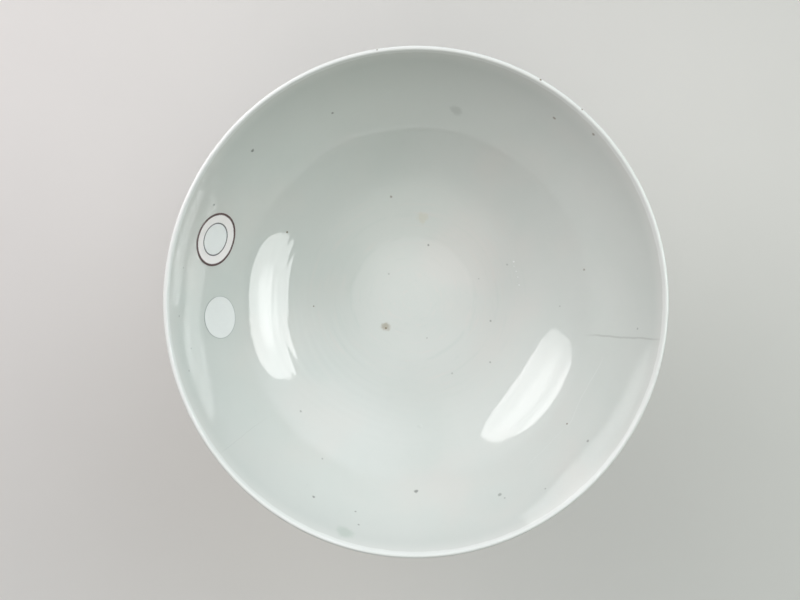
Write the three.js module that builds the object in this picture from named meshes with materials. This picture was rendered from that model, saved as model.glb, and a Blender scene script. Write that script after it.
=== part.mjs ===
// Stem bowl: a wide porcelain bowl luted onto a tall, hollow, splayed stem.
// Millimetres, +Z up, origin at the centre of the foot, on the plane that the foot stands on.
//
// The bowl and the stem are thrown and turned apart. The bowl's underside carries a low turned
// ring, the stem has a flat top, and a ring of slip joins the two: a thin bed between the faces, a
// bead squeezed out inside the hollow, and a smoothed fillet outside. Two round paper stickers lie
// on the inside wall, bent to it both ways.
import * as THREE from "three";

// Bowl
const RIM_DIAMETER = 170; // over the outermost line of the lip
const WELL_DIAMETER = 76; // the shallow middle of the inside ends here
const WELL_SLOPE = 17.6; // degrees above level, where the well meets the side
const SHOULDER_INSET = 17.5; // the lower side ends this far inside the lip
const SHOULDER_SLOPE = 46.6;
const LIP_SLOPE = 66.8;
const LIP_WALL = 1.6;
const BASE_WALL = 5.6; // the wall thins evenly from here to the lip

// Turned ring under the bowl
const RING_HEIGHT = 2; // at its inner edge
const RING_INSET = 1.5; // how far its outside stays within the stem's

// Stem
const STEM_HEIGHT = 52;
const STEM_TOP_DIAMETER = 46;
const STEM_TOP_WALL = 7;
const FOOT_DIAMETER = 77;
const FOOT_WALL = 5.2;
const FOOT_EDGE_HEIGHT = 4.2; // the upright edge of the foot, below the flare
const FOOT_LAND_WIDTH = 2.8; // the unglazed ring that it stands on
const FOOT_BEVEL = 1.3; // height of the turned bevels beside the land
const FLARE_POWER = 2.3; // 1 is a plain cone, and more keeps the upper stem straighter

// Slip between bowl and stem
const SLIP_BED = 0.8;
const SLIP_BEAD = 0.7; // how far it swells into the hollow
const SLIP_FILLET = 7.5; // how far the outer fillet reaches along the bowl's underside

// Round paper stickers on the inside wall
const PAPER = 0.15;
const STICKER_CLEARANCE = 0.3; // clears the flat facets of the wall
const RINGED_STICKER_DIAMETER = 19;
const RINGED_STICKER_BELOW_LIP = 21.2; // from the lip to its middle, along the wall
const RINGED_STICKER_BEARING = 162.8; // degrees round from +X
const PLAIN_STICKER_DIAMETER = 15;
const PLAIN_STICKER_BELOW_LIP = 27.5;
const PLAIN_STICKER_BEARING = 184.7;

// Facets
const TURN_STEPS = 80;
const INSIDE_STEPS = [6, 7, 7]; // one count for each arc, from the axis outwards
const OUTSIDE_STEPS = 13;
const LIP_STEPS = 7;
const ROOF_STEPS = 3; // underside of the bowl, over the hollow
const SEAT_STEPS = 3; // underside of the bowl, over the fillet
const FILLET_STEPS = 6;
const BEAD_STEPS = 4;
const FLARE_STEPS = 9;
const STICKER_STEPS = 32;
const STICKER_RINGS = 4;
const HALVINGS = 40; // enough to find a length to a millionth

const radians = THREE.MathUtils.degToRad;

// A wall's line from the axis outwards, as arcs that meet smoothly: each station gives the radius
// where an arc ends and the wall's slope there. Places on it are found by length along the line.
class Meridian {
  constructor(stations) {
    this.arcs = [];
    let start = { radius: 0, height: 0, slope: 0 };
    let from = 0;
    for (const [radius, slope] of stations) {
      const bend = (radius - start.radius) / (Math.sin(slope) - Math.sin(start.slope));
      const length = bend * (slope - start.slope);
      this.arcs.push({ start, bend, from, length });
      const height = start.height + bend * (Math.cos(start.slope) - Math.cos(slope));
      start = { radius, height, slope };
      from += length;
    }
    this.length = from;
  }

  at(length) {
    const arc = this.arcs.findLast((each) => each.from <= length) ?? this.arcs[0];
    const { start, bend, from } = arc;
    const slope = start.slope + (length - from) / bend;
    return {
      radius: start.radius + bend * (Math.sin(slope) - Math.sin(start.slope)),
      height: start.height + bend * (Math.cos(start.slope) - Math.cos(slope)),
      slope,
    };
  }

  // Lengths that split each arc into its own number of equal steps.
  lengths(steps) {
    return this.arcs.flatMap(({ from, length }, index) =>
      Array.from({ length: steps[index] }, (_, step) => from + (length * step) / steps[index]),
    );
  }
}

// The lip is a half round that joins the inside wall to the outside one.
const rimRadius = RIM_DIAMETER / 2;
const lipSlope = radians(LIP_SLOPE);
const lipRound = LIP_WALL / 2;
const insideRadius = rimRadius - lipRound * (1 + Math.sin(lipSlope));
const inside = new Meridian([
  [WELL_DIAMETER / 2, radians(WELL_SLOPE)],
  [insideRadius - SHOULDER_INSET, radians(SHOULDER_SLOPE)],
  [insideRadius, lipSlope],
]);

const wallAt = (length) => THREE.MathUtils.lerp(BASE_WALL, LIP_WALL, length / inside.length);

// A point that lies the given distance behind the inside wall, or before it if negative.
const behindWall = (length, distance) => {
  const { radius, height, slope } = inside.at(length);
  return new THREE.Vector2(
    radius + distance * Math.sin(slope),
    height - distance * Math.cos(slope),
  );
};
const outsidePoint = (length) => behindWall(length, wallAt(length));

// The length along the inside at which the outside wall has the given radius, by halving.
const lengthUnder = (radius) => {
  let low = 0;
  let high = inside.length;
  for (let halving = 0; halving < HALVINGS; halving += 1) {
    const middle = (low + high) / 2;
    if (outsidePoint(middle).x < radius) low = middle;
    else high = middle;
  }
  return low;
};

// Radii of the joint, shared by the ring under the bowl, the slip and the stem.
const stemTopRadius = STEM_TOP_DIAMETER / 2;
const hollowRadius = stemTopRadius - STEM_TOP_WALL;
const ringRadius = stemTopRadius - RING_INSET;
const filletRadius = stemTopRadius + SLIP_FILLET;
const ringFace = STEM_HEIGHT + SLIP_BED;

// Lengths where the joint's edges fall on the underside.
const hollowLength = lengthUnder(hollowRadius);
const ringLength = lengthUnder(ringRadius);
const filletLength = lengthUnder(filletRadius);
const bowlLift = ringFace + RING_HEIGHT - outsidePoint(hollowLength).y;

const evenly = (from, to, steps) =>
  Array.from({ length: steps + 1 }, (_, step) => THREE.MathUtils.lerp(from, to, step / steps));
const lifted = (point) => new THREE.Vector2(point.x, point.y + bowlLift);
const underside = (from, to, steps) =>
  evenly(from, to, steps).map((length) => lifted(outsidePoint(length)));

// The stretch of underside that the fillet lies against, the same points in both solids.
const filletSeat = underside(ringLength, filletLength, SEAT_STEPS);

const turned = (profile) => {
  const geometry = new THREE.LatheGeometry(profile, TURN_STEPS);
  geometry.rotateX(Math.PI / 2);
  return geometry;
};

const named = (name, geometry, material) => {
  const mesh = new THREE.Mesh(geometry, material);
  mesh.name = name;
  return mesh;
};

function bowlGeometry() {
  const hollowRoof = underside(0, hollowLength, ROOF_STEPS);
  const ring = [
    new THREE.Vector2(hollowRadius, ringFace),
    new THREE.Vector2(ringRadius, ringFace),
  ];
  const outside = underside(filletLength, inside.length, OUTSIDE_STEPS).slice(1);
  const lipMiddle = lifted(behindWall(inside.length, lipRound));
  const lip = evenly(lipSlope - Math.PI / 2, lipSlope + Math.PI / 2, LIP_STEPS)
    .slice(1)
    .map(
      (turn) =>
        new THREE.Vector2(
          lipMiddle.x + lipRound * Math.cos(turn),
          lipMiddle.y + lipRound * Math.sin(turn),
        ),
    );
  const insideWall = inside
    .lengths(INSIDE_STEPS)
    .reverse()
    .map((length) => lifted(behindWall(length, 0)));
  return turned([...hollowRoof, ...ring, ...filletSeat, ...outside, ...lip, ...insideWall]);
}

function slipGeometry() {
  const top = filletSeat.at(-1);
  const { slope } = inside.at(filletLength);
  const corner = new THREE.Vector2(
    stemTopRadius,
    top.y - (top.x - stemTopRadius) * Math.tan(slope),
  );
  const stemEdge = new THREE.Vector2(stemTopRadius, STEM_HEIGHT);
  const fillet = new THREE.QuadraticBezierCurve(stemEdge, corner, top).getPoints(FILLET_STEPS);
  const bead = evenly(0, Math.PI, BEAD_STEPS)
    .slice(1, -1)
    .map(
      (turn) =>
        new THREE.Vector2(
          hollowRadius - SLIP_BEAD * Math.sin(turn),
          STEM_HEIGHT + (SLIP_BED * (1 + Math.cos(turn))) / 2,
        ),
    );
  const bed = [
    new THREE.Vector2(ringRadius, ringFace),
    new THREE.Vector2(hollowRadius, ringFace),
  ];
  const start = new THREE.Vector2(hollowRadius, STEM_HEIGHT);
  const seat = filletSeat.slice(0, -1).reverse();
  return turned([start, ...fillet, ...seat, ...bed, ...bead, start.clone()]);
}

// One side of the stem, from the top of the foot's edge to the stem's top.
function flare(footRadius, topRadius, footHeight) {
  return evenly(0, 1, FLARE_STEPS).map(
    (share) =>
      new THREE.Vector2(
        topRadius + (footRadius - topRadius) * (1 - share) ** FLARE_POWER,
        footHeight + (STEM_HEIGHT - footHeight) * share,
      ),
  );
}

function stemGeometry() {
  const footRadius = FOOT_DIAMETER / 2;
  const footHollow = footRadius - FOOT_WALL;
  const bevel = (FOOT_WALL - FOOT_LAND_WIDTH) / 2;
  const outside = flare(footRadius, stemTopRadius, FOOT_EDGE_HEIGHT);
  const hollow = flare(footHollow, hollowRadius, FOOT_BEVEL).reverse();
  const land = [
    new THREE.Vector2(footHollow + bevel, 0),
    new THREE.Vector2(footRadius - bevel, 0),
  ];
  const edge = new THREE.Vector2(footRadius, FOOT_BEVEL);
  return turned([...land, edge, ...outside, ...hollow, land[0].clone()]);
}

// A paper disc bent to the inside wall: it keeps its size along the wall and round it.
function stickerGeometry(diameter, belowLip, bearing) {
  const middle = inside.length - belowLip;
  const positions = [];
  const onWall = (reach, turn, height) => {
    const length = middle + reach * Math.cos(turn);
    const { x, y } = lifted(behindWall(length, -STICKER_CLEARANCE - height));
    const angle = radians(bearing) + (reach * Math.sin(turn)) / inside.at(length).radius;
    positions.push(x * Math.cos(angle), x * Math.sin(angle), y);
  };
  for (const height of [0, PAPER]) {
    onWall(0, 0, height);
    for (let ring = 1; ring <= STICKER_RINGS; ring += 1)
      for (let step = 0; step < STICKER_STEPS; step += 1)
        onWall(
          ((diameter / 2) * ring) / STICKER_RINGS,
          (2 * Math.PI * step) / STICKER_STEPS,
          height,
        );
  }
  const sheet = 1 + STICKER_RINGS * STICKER_STEPS;
  const corner = (side, ring, step) =>
    side * sheet + (ring ? 1 + (ring - 1) * STICKER_STEPS + (step % STICKER_STEPS) : 0);
  const faces = [];
  for (let step = 0; step < STICKER_STEPS; step += 1) {
    for (let ring = 1; ring <= STICKER_RINGS; ring += 1)
      for (const side of [0, 1]) {
        const near = corner(side, ring - 1, step);
        const far = corner(side, ring, step);
        const farNext = corner(side, ring, step + 1);
        const nearNext = corner(side, ring - 1, step + 1);
        const flat = ring > 1 ? [near, far, farNext, near, farNext, nearNext] : [near, far, farNext];
        faces.push(...(side ? flat : flat.reverse()));
      }
    const low = corner(0, STICKER_RINGS, step);
    const lowNext = corner(0, STICKER_RINGS, step + 1);
    const high = corner(1, STICKER_RINGS, step);
    const highNext = corner(1, STICKER_RINGS, step + 1);
    faces.push(low, lowNext, high, lowNext, highNext, high);
  }
  const geometry = new THREE.BufferGeometry();
  geometry.setAttribute("position", new THREE.Float32BufferAttribute(positions, 3));
  geometry.setIndex(faces);
  geometry.computeVertexNormals();
  return geometry;
}

const glaze = new THREE.MeshStandardMaterial({ color: 0xd3dbd6, roughness: 0.1, metalness: 0 });
const slip = new THREE.MeshStandardMaterial({ color: 0xcbd6d0, roughness: 0.12, metalness: 0 });
const whitePaper = new THREE.MeshStandardMaterial({ color: 0xf3eeea, roughness: 0.55, metalness: 0 });
const greyPaper = new THREE.MeshStandardMaterial({ color: 0xe3e8e6, roughness: 0.5, metalness: 0 });

const stemBowl = new THREE.Group();
stemBowl.add(
  named("bowl", bowlGeometry(), glaze),
  named("luting_slip", slipGeometry(), slip),
  named("stem", stemGeometry(), glaze),
  named(
    "ringed_sticker",
    stickerGeometry(RINGED_STICKER_DIAMETER, RINGED_STICKER_BELOW_LIP, RINGED_STICKER_BEARING),
    whitePaper,
  ),
  named(
    "plain_sticker",
    stickerGeometry(PLAIN_STICKER_DIAMETER, PLAIN_STICKER_BELOW_LIP, PLAIN_STICKER_BEARING),
    greyPaper,
  ),
);

export default stemBowl;
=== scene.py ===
"""A stem bowl of glazed porcelain: the looks of its bowl, slip joint, stem and paper stickers.

Metres, +Z up, origin at the centre of the foot. The bowl and the stem are turned again from the
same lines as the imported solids, finely enough for their reflections, and then get what throwing
and firing leave: a rim that is a little out of round, soft ripples, rings in the floor, specks,
pooled glaze, a hairline crack, fine scratches and a bare foot ring.
"""

import logging
import math
from dataclasses import dataclass, field
from enum import Enum
from typing import Sequence, TypeAlias

import bmesh
import bpy
import numpy as np
from mathutils import Matrix, Vector


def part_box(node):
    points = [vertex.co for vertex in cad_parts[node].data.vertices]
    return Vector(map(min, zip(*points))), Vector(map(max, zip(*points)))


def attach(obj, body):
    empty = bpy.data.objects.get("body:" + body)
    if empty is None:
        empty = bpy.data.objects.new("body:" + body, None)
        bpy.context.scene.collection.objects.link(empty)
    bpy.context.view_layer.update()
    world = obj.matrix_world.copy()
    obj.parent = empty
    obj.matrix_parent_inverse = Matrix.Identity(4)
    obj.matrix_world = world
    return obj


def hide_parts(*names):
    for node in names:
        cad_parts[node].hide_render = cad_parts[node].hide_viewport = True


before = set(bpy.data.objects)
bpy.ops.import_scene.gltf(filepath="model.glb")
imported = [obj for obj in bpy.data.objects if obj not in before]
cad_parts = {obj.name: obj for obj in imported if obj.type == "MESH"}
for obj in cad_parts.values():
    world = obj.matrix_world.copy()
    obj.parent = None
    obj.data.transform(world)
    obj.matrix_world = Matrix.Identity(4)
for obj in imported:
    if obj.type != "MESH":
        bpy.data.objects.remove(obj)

LOG = logging.getLogger("stem_bowl")
MM = 0.001
TURN_STEPS = 300
LOOKUP_STEPS = 4001
MERGE_DISTANCE = 1e-8
AXIS_TOLERANCE = 1e-9
SHARP_ANGLE = math.radians(38)
STEM_RADIUS = 23 * MM
BOX_INSET = 0.01 * MM
LAMP_GAP = 2 * MM
BODY = "root"
UP = Vector((0.0, 0.0, 1.0))

Colour: TypeAlias = tuple[float, float, float]
Socket: TypeAlias = bpy.types.NodeSocket
Source: TypeAlias = Socket | float


class Slot(Enum):
    """The record's material slots."""

    BOWL = "bowl_glaze"
    SLIP = "slip_glaze"
    STEM = "stem_glaze"
    RINGED_PAPER = "ringed_paper"
    PLAIN_PAPER = "plain_paper"


def smooth_step(values: np.ndarray, low: float, high: float) -> np.ndarray:
    """Eases from 0 at low to 1 at high.

    Args:
        values: Where to read the step.
        low: Value at which the result leaves 0.
        high: Value at which it reaches 1.

    Returns:
        The eased shares, as an array like values.
    """
    share = np.clip((values - low) / (high - low), 0.0, 1.0)
    return share * share * (3.0 - 2.0 * share)


def rise_and_fall(values: np.ndarray, limits: tuple[float, float, float, float]) -> np.ndarray:
    """Eases from 0 to 1 and back to 0.

    Args:
        values: Where to read it.
        limits: Values at which it leaves 0, reaches 1, leaves 1 and reaches 0 again.

    Returns:
        The eased shares, as an array like values.
    """
    start, full, fade, end = limits
    return smooth_step(values, start, full) * (1.0 - smooth_step(values, fade, end))


@dataclass(frozen=True)
class Ripple:
    """Unevenness of a hand-worked surface: crossing waves of about one length.

    Attributes:
        height: Typical height of the waves.
        length: Typical length of the waves.
        seed: Starting number of the draws.
        waves: How many waves cross.
    """

    height: float
    length: float
    seed: int
    waves: int = 14

    def at(self, points: np.ndarray) -> np.ndarray:
        """Reads the ripple.

        Args:
            points: Places in space, with x, y and z along the last axis.

        Returns:
            The ripple's height at each place.
        """
        draws = np.random.default_rng(self.seed)
        total = np.zeros(points.shape[:-1])
        for _ in range(self.waves):
            direction = draws.normal(size=3)
            direction /= np.linalg.norm(direction)
            pitch = 2.0 * math.pi / (self.length * draws.uniform(0.7, 1.6))
            total += np.sin(points @ direction * pitch + draws.uniform(0.0, 2.0 * math.pi))
        return self.height * total * math.sqrt(2.0 / self.waves)


@dataclass(frozen=True)
class TurningMarks:
    """Fine rings that a turning tool leaves, which come and go round the wall.

    Attributes:
        depth: Typical depth of a ring.
        pitch: About how far apart the rings lie.
        deepest: Bearing where they are deepest, in degrees.
        quiet: Share of the depth that is left on the far side.
        seed: Starting number of the draws.
        sets: How many sets of rings there are.
    """

    depth: float
    pitch: float
    deepest: float
    quiet: float
    seed: int
    sets: int = 7

    def at(self, lengths: np.ndarray, bearings: np.ndarray) -> np.ndarray:
        """Reads the rings.

        Args:
            lengths: Lengths along the wall.
            bearings: Angles round from +X.

        Returns:
            The rings' height at each place.
        """
        draws = np.random.default_rng(self.seed)
        total = np.zeros(lengths.shape)
        for _ in range(self.sets):
            pitch, lean = self.pitch * draws.uniform(0.7, 1.7), self.pitch * draws.uniform(0.3, 1.4)
            start, drift, fade = draws.uniform(0.0, 2.0 * math.pi, 3)
            lobes, spells = draws.integers(1, 4), draws.integers(2, 6)
            swayed = lengths + lean * np.sin(lobes * bearings + drift)
            shown = 0.55 + 0.45 * np.sin(spells * bearings + fade + 0.3 * lengths / self.pitch)
            total += shown * np.sin(2.0 * math.pi * swayed / pitch + start)
        near = 0.5 + 0.5 * np.cos(bearings - math.radians(self.deepest))
        share = self.quiet + (1.0 - self.quiet) * near**2
        return self.depth * share * total * math.sqrt(2.0 / self.sets)


@dataclass(frozen=True)
class Station:
    """Where an arc of a wall's line ends.

    Attributes:
        radius: Distance from the axis.
        slope: The line's slope there, in degrees above level.
    """

    radius: float
    slope: float


class Meridian:
    """A wall's line from the axis outwards, as arcs that meet smoothly."""

    def __init__(self, stations: Sequence[Station]) -> None:
        """Joins the arcs.

        Args:
            stations: The arcs' ends, from the axis outwards.
        """
        radius, height, slope, length = 0.0, 0.0, 0.0, 0.0
        rows = []
        for station in stations:
            turned = math.radians(station.slope)
            bend = (station.radius - radius) / (math.sin(turned) - math.sin(slope))
            rows.append((length, radius, height, slope, bend))
            height += bend * (math.cos(slope) - math.cos(turned))
            length += bend * (turned - slope)
            radius, slope = station.radius, turned
        self.rows = np.array(rows)
        self.length = length

    def at(self, lengths: np.ndarray) -> tuple[np.ndarray, np.ndarray, np.ndarray]:
        """Reads the line at lengths from the axis.

        Args:
            lengths: Lengths along the line.

        Returns:
            Radius, height and slope (radians) at each length.
        """
        lengths = np.asarray(lengths, dtype=float)
        index = np.clip(np.searchsorted(self.rows[:, 0], lengths, side="right") - 1, 0, None)
        start, radius, height, slope, bend = (self.rows[index, column] for column in range(5))
        turned = slope + (lengths - start) / bend
        return (
            radius + bend * (np.sin(turned) - np.sin(slope)),
            height + bend * (np.cos(slope) - np.cos(turned)),
            turned,
        )


class Turning:
    """Makes a closed round mesh from one line of points."""

    def __init__(self, line: np.ndarray) -> None:
        """Takes the line and the bearings that its copies get.

        Args:
            line: Radius and height of each point, from axis to axis or round a closed loop.
        """
        self.line = line
        self.angles = np.arange(TURN_STEPS) * 2.0 * math.pi / TURN_STEPS
        self.on_axis = line[0, 0] < AXIS_TOLERANCE

    def points(self) -> np.ndarray:
        """Turns the line round the axis.

        Returns:
            The points, by point of the line, bearing and axis.
        """
        radius, height = self.line[:, 0:1], self.line[:, 1:2]
        shape = (len(self.line), TURN_STEPS)
        return np.stack(
            [
                radius * np.cos(self.angles),
                radius * np.sin(self.angles),
                np.broadcast_to(height, shape),
            ],
            axis=-1,
        )

    def mesh(self, name: str, points: np.ndarray) -> bpy.types.Object:
        """Builds the object from moved points.

        Args:
            name: The object's name.
            points: The moved points, in the order that points() gives.

        Returns:
            The new object, smooth but for its sharp corners.
        """
        rows, steps = points.shape[:2]
        grid = np.arange(rows * steps).reshape(rows, steps)
        ahead = np.roll(grid, -1, axis=1)
        last = rows - 1 if self.on_axis else rows
        faces: list[tuple[int, ...]] = []
        for row in range(last):
            after = (row + 1) % rows
            quads = np.stack([grid[row], ahead[row], ahead[after], grid[after]], axis=-1)
            faces.extend(map(tuple, quads.tolist()))
        mesh = bpy.data.meshes.new(name)
        mesh.from_pydata(points.reshape(-1, 3).tolist(), [], faces)
        return finished(name, mesh)


def finished(name: str, mesh: bpy.types.Mesh) -> bpy.types.Object:
    """Merges double points, turns faces out, smooths the mesh and puts it in the scene.

    Args:
        name: The object's name.
        mesh: The mesh as built.

    Returns:
        The new object.
    """
    work = bmesh.new()
    work.from_mesh(mesh)
    bmesh.ops.remove_doubles(work, verts=work.verts, dist=MERGE_DISTANCE)
    bmesh.ops.dissolve_degenerate(work, edges=work.edges, dist=MERGE_DISTANCE)
    bmesh.ops.recalc_face_normals(work, faces=work.faces)
    work.to_mesh(mesh)
    work.free()
    mesh.shade_smooth()
    mesh.set_sharp_from_angle(angle=SHARP_ANGLE)
    piece = bpy.data.objects.new(name, mesh)
    bpy.context.scene.collection.objects.link(piece)
    return piece


def seat(piece: bpy.types.Object, node: str, material: bpy.types.Material) -> None:
    """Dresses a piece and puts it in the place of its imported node.

    Args:
        piece: The piece.
        node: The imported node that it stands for.
        material: Its finish.
    """
    piece.data.materials.append(material)
    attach(piece, BODY)
    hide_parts(node)


class NodeSheet:
    """Lays and links the shader nodes of a lamp, a world or, with its subclass, a material."""

    def __init__(self, tree: bpy.types.NodeTree) -> None:
        """Takes the tree that the nodes go into.

        Args:
            tree: The node tree.
        """
        self.tree = tree

    def node(self, kind: str, **settings: object) -> bpy.types.Node:
        """Adds a node.

        Args:
            kind: Blender's name for the node.
            **settings: The node's own options.

        Returns:
            The node.
        """
        made = self.tree.nodes.new(kind)
        for key, value in settings.items():
            setattr(made, key, value)
        return made

    def feed(self, target: Socket, source: Source | Colour | Vector) -> None:
        """Links a socket to another, or sets its value.

        Args:
            target: The input.
            source: An output, or a value for the input.
        """
        if isinstance(source, bpy.types.NodeSocket):
            self.tree.links.new(source, target)
        elif isinstance(source, tuple) and target.type == "RGBA":
            target.default_value = (*source, 1.0)
        else:
            target.default_value = source

    def math(self, operation: str, first: Source, second: Source = 0.0) -> Socket:
        """Adds a math node.

        Args:
            operation: Blender's name for the operation.
            first: First operand.
            second: Second operand.

        Returns:
            The result.
        """
        made = self.node("ShaderNodeMath", operation=operation)
        self.feed(made.inputs[0], first)
        self.feed(made.inputs[1], second)
        return made.outputs[0]

    def ease(self, value: Source, low: float, high: float, top: float = 1.0) -> Socket:
        """Eases from 0 at low to top at high, either way round.

        Args:
            value: What is read.
            low: Value that gives 0.
            high: Value that gives top.
            top: The highest result.

        Returns:
            The eased value.
        """
        made = self.node("ShaderNodeMapRange", interpolation_type="SMOOTHSTEP")
        self.feed(made.inputs["Value"], value)
        made.inputs["From Min"].default_value = min(low, high)
        made.inputs["From Max"].default_value = max(low, high)
        made.inputs["To Min"].default_value = 0.0 if low < high else top
        made.inputs["To Max"].default_value = top if low < high else 0.0
        return made.outputs["Result"]

    def mix(
        self, share: Source, first: Socket | Colour, second: Socket | Colour, blend: str = "MIX"
    ) -> Socket:
        """Mixes two colours.

        Args:
            share: How much of the second.
            first: Colour at 0.
            second: Colour at 1.
            blend: Blender's name for the kind of mixing.

        Returns:
            The mixed colour.
        """
        made = self.node("ShaderNodeMix", data_type="RGBA", blend_type=blend)
        self.feed(made.inputs[0], share)
        self.feed(made.inputs[6], first)
        self.feed(made.inputs[7], second)
        return made.outputs[2]

    def parts(self, vector: Socket) -> tuple[Socket, Socket, Socket]:
        """Splits a vector.

        Args:
            vector: The vector.

        Returns:
            Its x, y and z.
        """
        split = self.node("ShaderNodeSeparateXYZ")
        self.feed(split.inputs[0], vector)
        return tuple(split.outputs)

    def along(self, vector: Socket, direction: Vector) -> Socket:
        """Reads how far a vector goes in a direction.

        Args:
            vector: The vector.
            direction: The direction, of length 1.

        Returns:
            How far it goes.
        """
        made = self.node("ShaderNodeVectorMath", operation="DOT_PRODUCT")
        self.feed(made.inputs[0], vector)
        made.inputs[1].default_value = direction
        return made.outputs["Value"]


class GlazeSheet(NodeSheet):
    """Lays and links the shader nodes of one material, read by place on the object."""

    def __init__(self, name: str) -> None:
        """Starts a material with its shader.

        Args:
            name: The material's name.
        """
        self.material = bpy.data.materials.new(name)
        self.material.use_nodes = True
        super().__init__(self.material.node_tree)
        self.shader = self.tree.nodes["Principled BSDF"]
        self.place = self.node("ShaderNodeTexCoord").outputs["Object"]

    def noise(
        self, size: float, detail: float = 2.0, offset: float = 0.0, place: Socket | None = None
    ) -> Socket:
        """Adds noise in space.

        Args:
            size: Size of its largest features.
            detail: Finer layers.
            offset: Shifts the noise, for a second one that is unlike the first.
            place: Where it is read, if not at the place on the object.

        Returns:
            The noise, about 0.5 on average.
        """
        made = self.node("ShaderNodeTexNoise", noise_dimensions="4D")
        self.feed(made.inputs["Vector"], place or self.place)
        made.inputs["W"].default_value = offset
        made.inputs["Scale"].default_value = 1.0 / size
        made.inputs["Detail"].default_value = detail
        return made.outputs["Fac"]

    def streaks(self, width: float, sweep: float, detail: float, offset: float) -> Socket:
        """Adds noise drawn out round the turning axis, as a wheel smears what it turns.

        Args:
            width: Width of a streak, outwards from the axis.
            sweep: About how far round a streak runs, in radians.
            detail: Finer layers.
            offset: Shifts the noise.

        Returns:
            The noise, about 0.5 on average.
        """
        x, y, _ = self.parts(self.place)
        radius = self.from_axis()
        near = self.math("MAXIMUM", radius, 1e-6)
        wound = self.node("ShaderNodeCombineXYZ")
        self.feed(wound.inputs[0], self.math("DIVIDE", x, self.math("MULTIPLY", near, sweep)))
        self.feed(wound.inputs[1], self.math("DIVIDE", y, self.math("MULTIPLY", near, sweep)))
        self.feed(wound.inputs[2], self.math("DIVIDE", radius, width))
        return self.noise(1.0, detail, offset, wound.outputs[0])

    def dot(self, direction: Vector, shift: float = 0.0) -> Socket:
        """Reads the place along a direction.

        Args:
            direction: The direction.
            shift: Added to the result.

        Returns:
            The distance along it.
        """
        return self.math("ADD", self.along(self.place, direction), shift)

    def away(self, centre: Vector, stretch: Vector = Vector((1.0, 1.0, 1.0))) -> Socket:
        """Reads the distance from a point.

        Args:
            centre: The point.
            stretch: Scales each axis first, which narrows a mark along it.

        Returns:
            The distance.
        """
        moved = self.node("ShaderNodeVectorMath", operation="SUBTRACT")
        self.feed(moved.inputs[0], self.place)
        moved.inputs[1].default_value = centre
        scaled = self.node("ShaderNodeVectorMath", operation="MULTIPLY")
        self.feed(scaled.inputs[0], moved.outputs[0])
        scaled.inputs[1].default_value = stretch
        length = self.node("ShaderNodeVectorMath", operation="LENGTH")
        self.feed(length.inputs[0], scaled.outputs[0])
        return length.outputs["Value"]

    def from_axis(self) -> Socket:
        """Reads the distance from the turning axis."""
        return self.away(Vector((0.0, 0.0, 0.0)), Vector((1.0, 1.0, 0.0)))

    def bump(self, height: Source, distance: float) -> None:
        """Puts a fine relief on the shader.

        Args:
            height: The relief, from 0 to 1.
            distance: How deep a change of 1 is.
        """
        made = self.node("ShaderNodeBump")
        made.inputs["Strength"].default_value = 1.0
        made.inputs["Distance"].default_value = distance
        self.feed(made.inputs["Height"], height)
        self.feed(self.shader.inputs["Normal"], made.outputs["Normal"])


@dataclass(frozen=True)
class FiringMarkOrPaintedGlint:
    """A small fault in the glaze of the inside wall, or a white dot there that is a painted glint.

    Attributes:
        bearing: Degrees round from +X.
        radius: Distance from the axis.
        size: Half of its width.
        colour: Its colour.
        strength: How much of that colour it has in the middle.
        ragged: How far its edge wanders, as a share of its size.
    """

    bearing: float
    radius: float
    size: float
    colour: Colour
    strength: float
    ragged: float = 0.5


IRON_BROWN: Colour = (0.16, 0.115, 0.06)
ASH_GREY: Colour = (0.20, 0.22, 0.20)
CRACK_GREY: Colour = (0.20, 0.21, 0.195)
STRAW: Colour = (0.62, 0.55, 0.36)
POOLED_GREEN: Colour = (0.40, 0.50, 0.43)
# Painted highlight: the white of the painted glints on the inside wall; also the colour of the pale
# scratches.
PAINTED_GLINT_AND_SCRATCH_WHITE: Colour = (0.92, 0.94, 0.94)
CLAY_BROWN: Colour = (0.40, 0.37, 0.29)
CLAY_FLUSH: Colour = (0.725, 0.700, 0.670)
BORDER_INK: Colour = (0.080, 0.034, 0.032)
LINE_INK: Colour = (0.050, 0.040, 0.050)


@dataclass(frozen=True)
class Hairline:
    """A crack or a fine scratch, which shows as a thin line.

    Attributes:
        start: Where it starts, from above: bearing in degrees and distance from the axis.
        end: Where it ends, the same way.
        width: Half of its width.
        strength: How clearly it shows.
        colour: Its colour.
    """

    start: tuple[float, float]
    end: tuple[float, float]
    width: float
    strength: float
    colour: Colour = CRACK_GREY

    def ends(self) -> tuple[Vector, Vector]:
        """Gives its ends as seen from above."""
        return tuple(
            Vector((radius * math.cos(math.radians(bearing)), radius * math.sin(math.radians(bearing)), 0))
            for bearing, radius in (self.start, self.end)
        )


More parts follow.
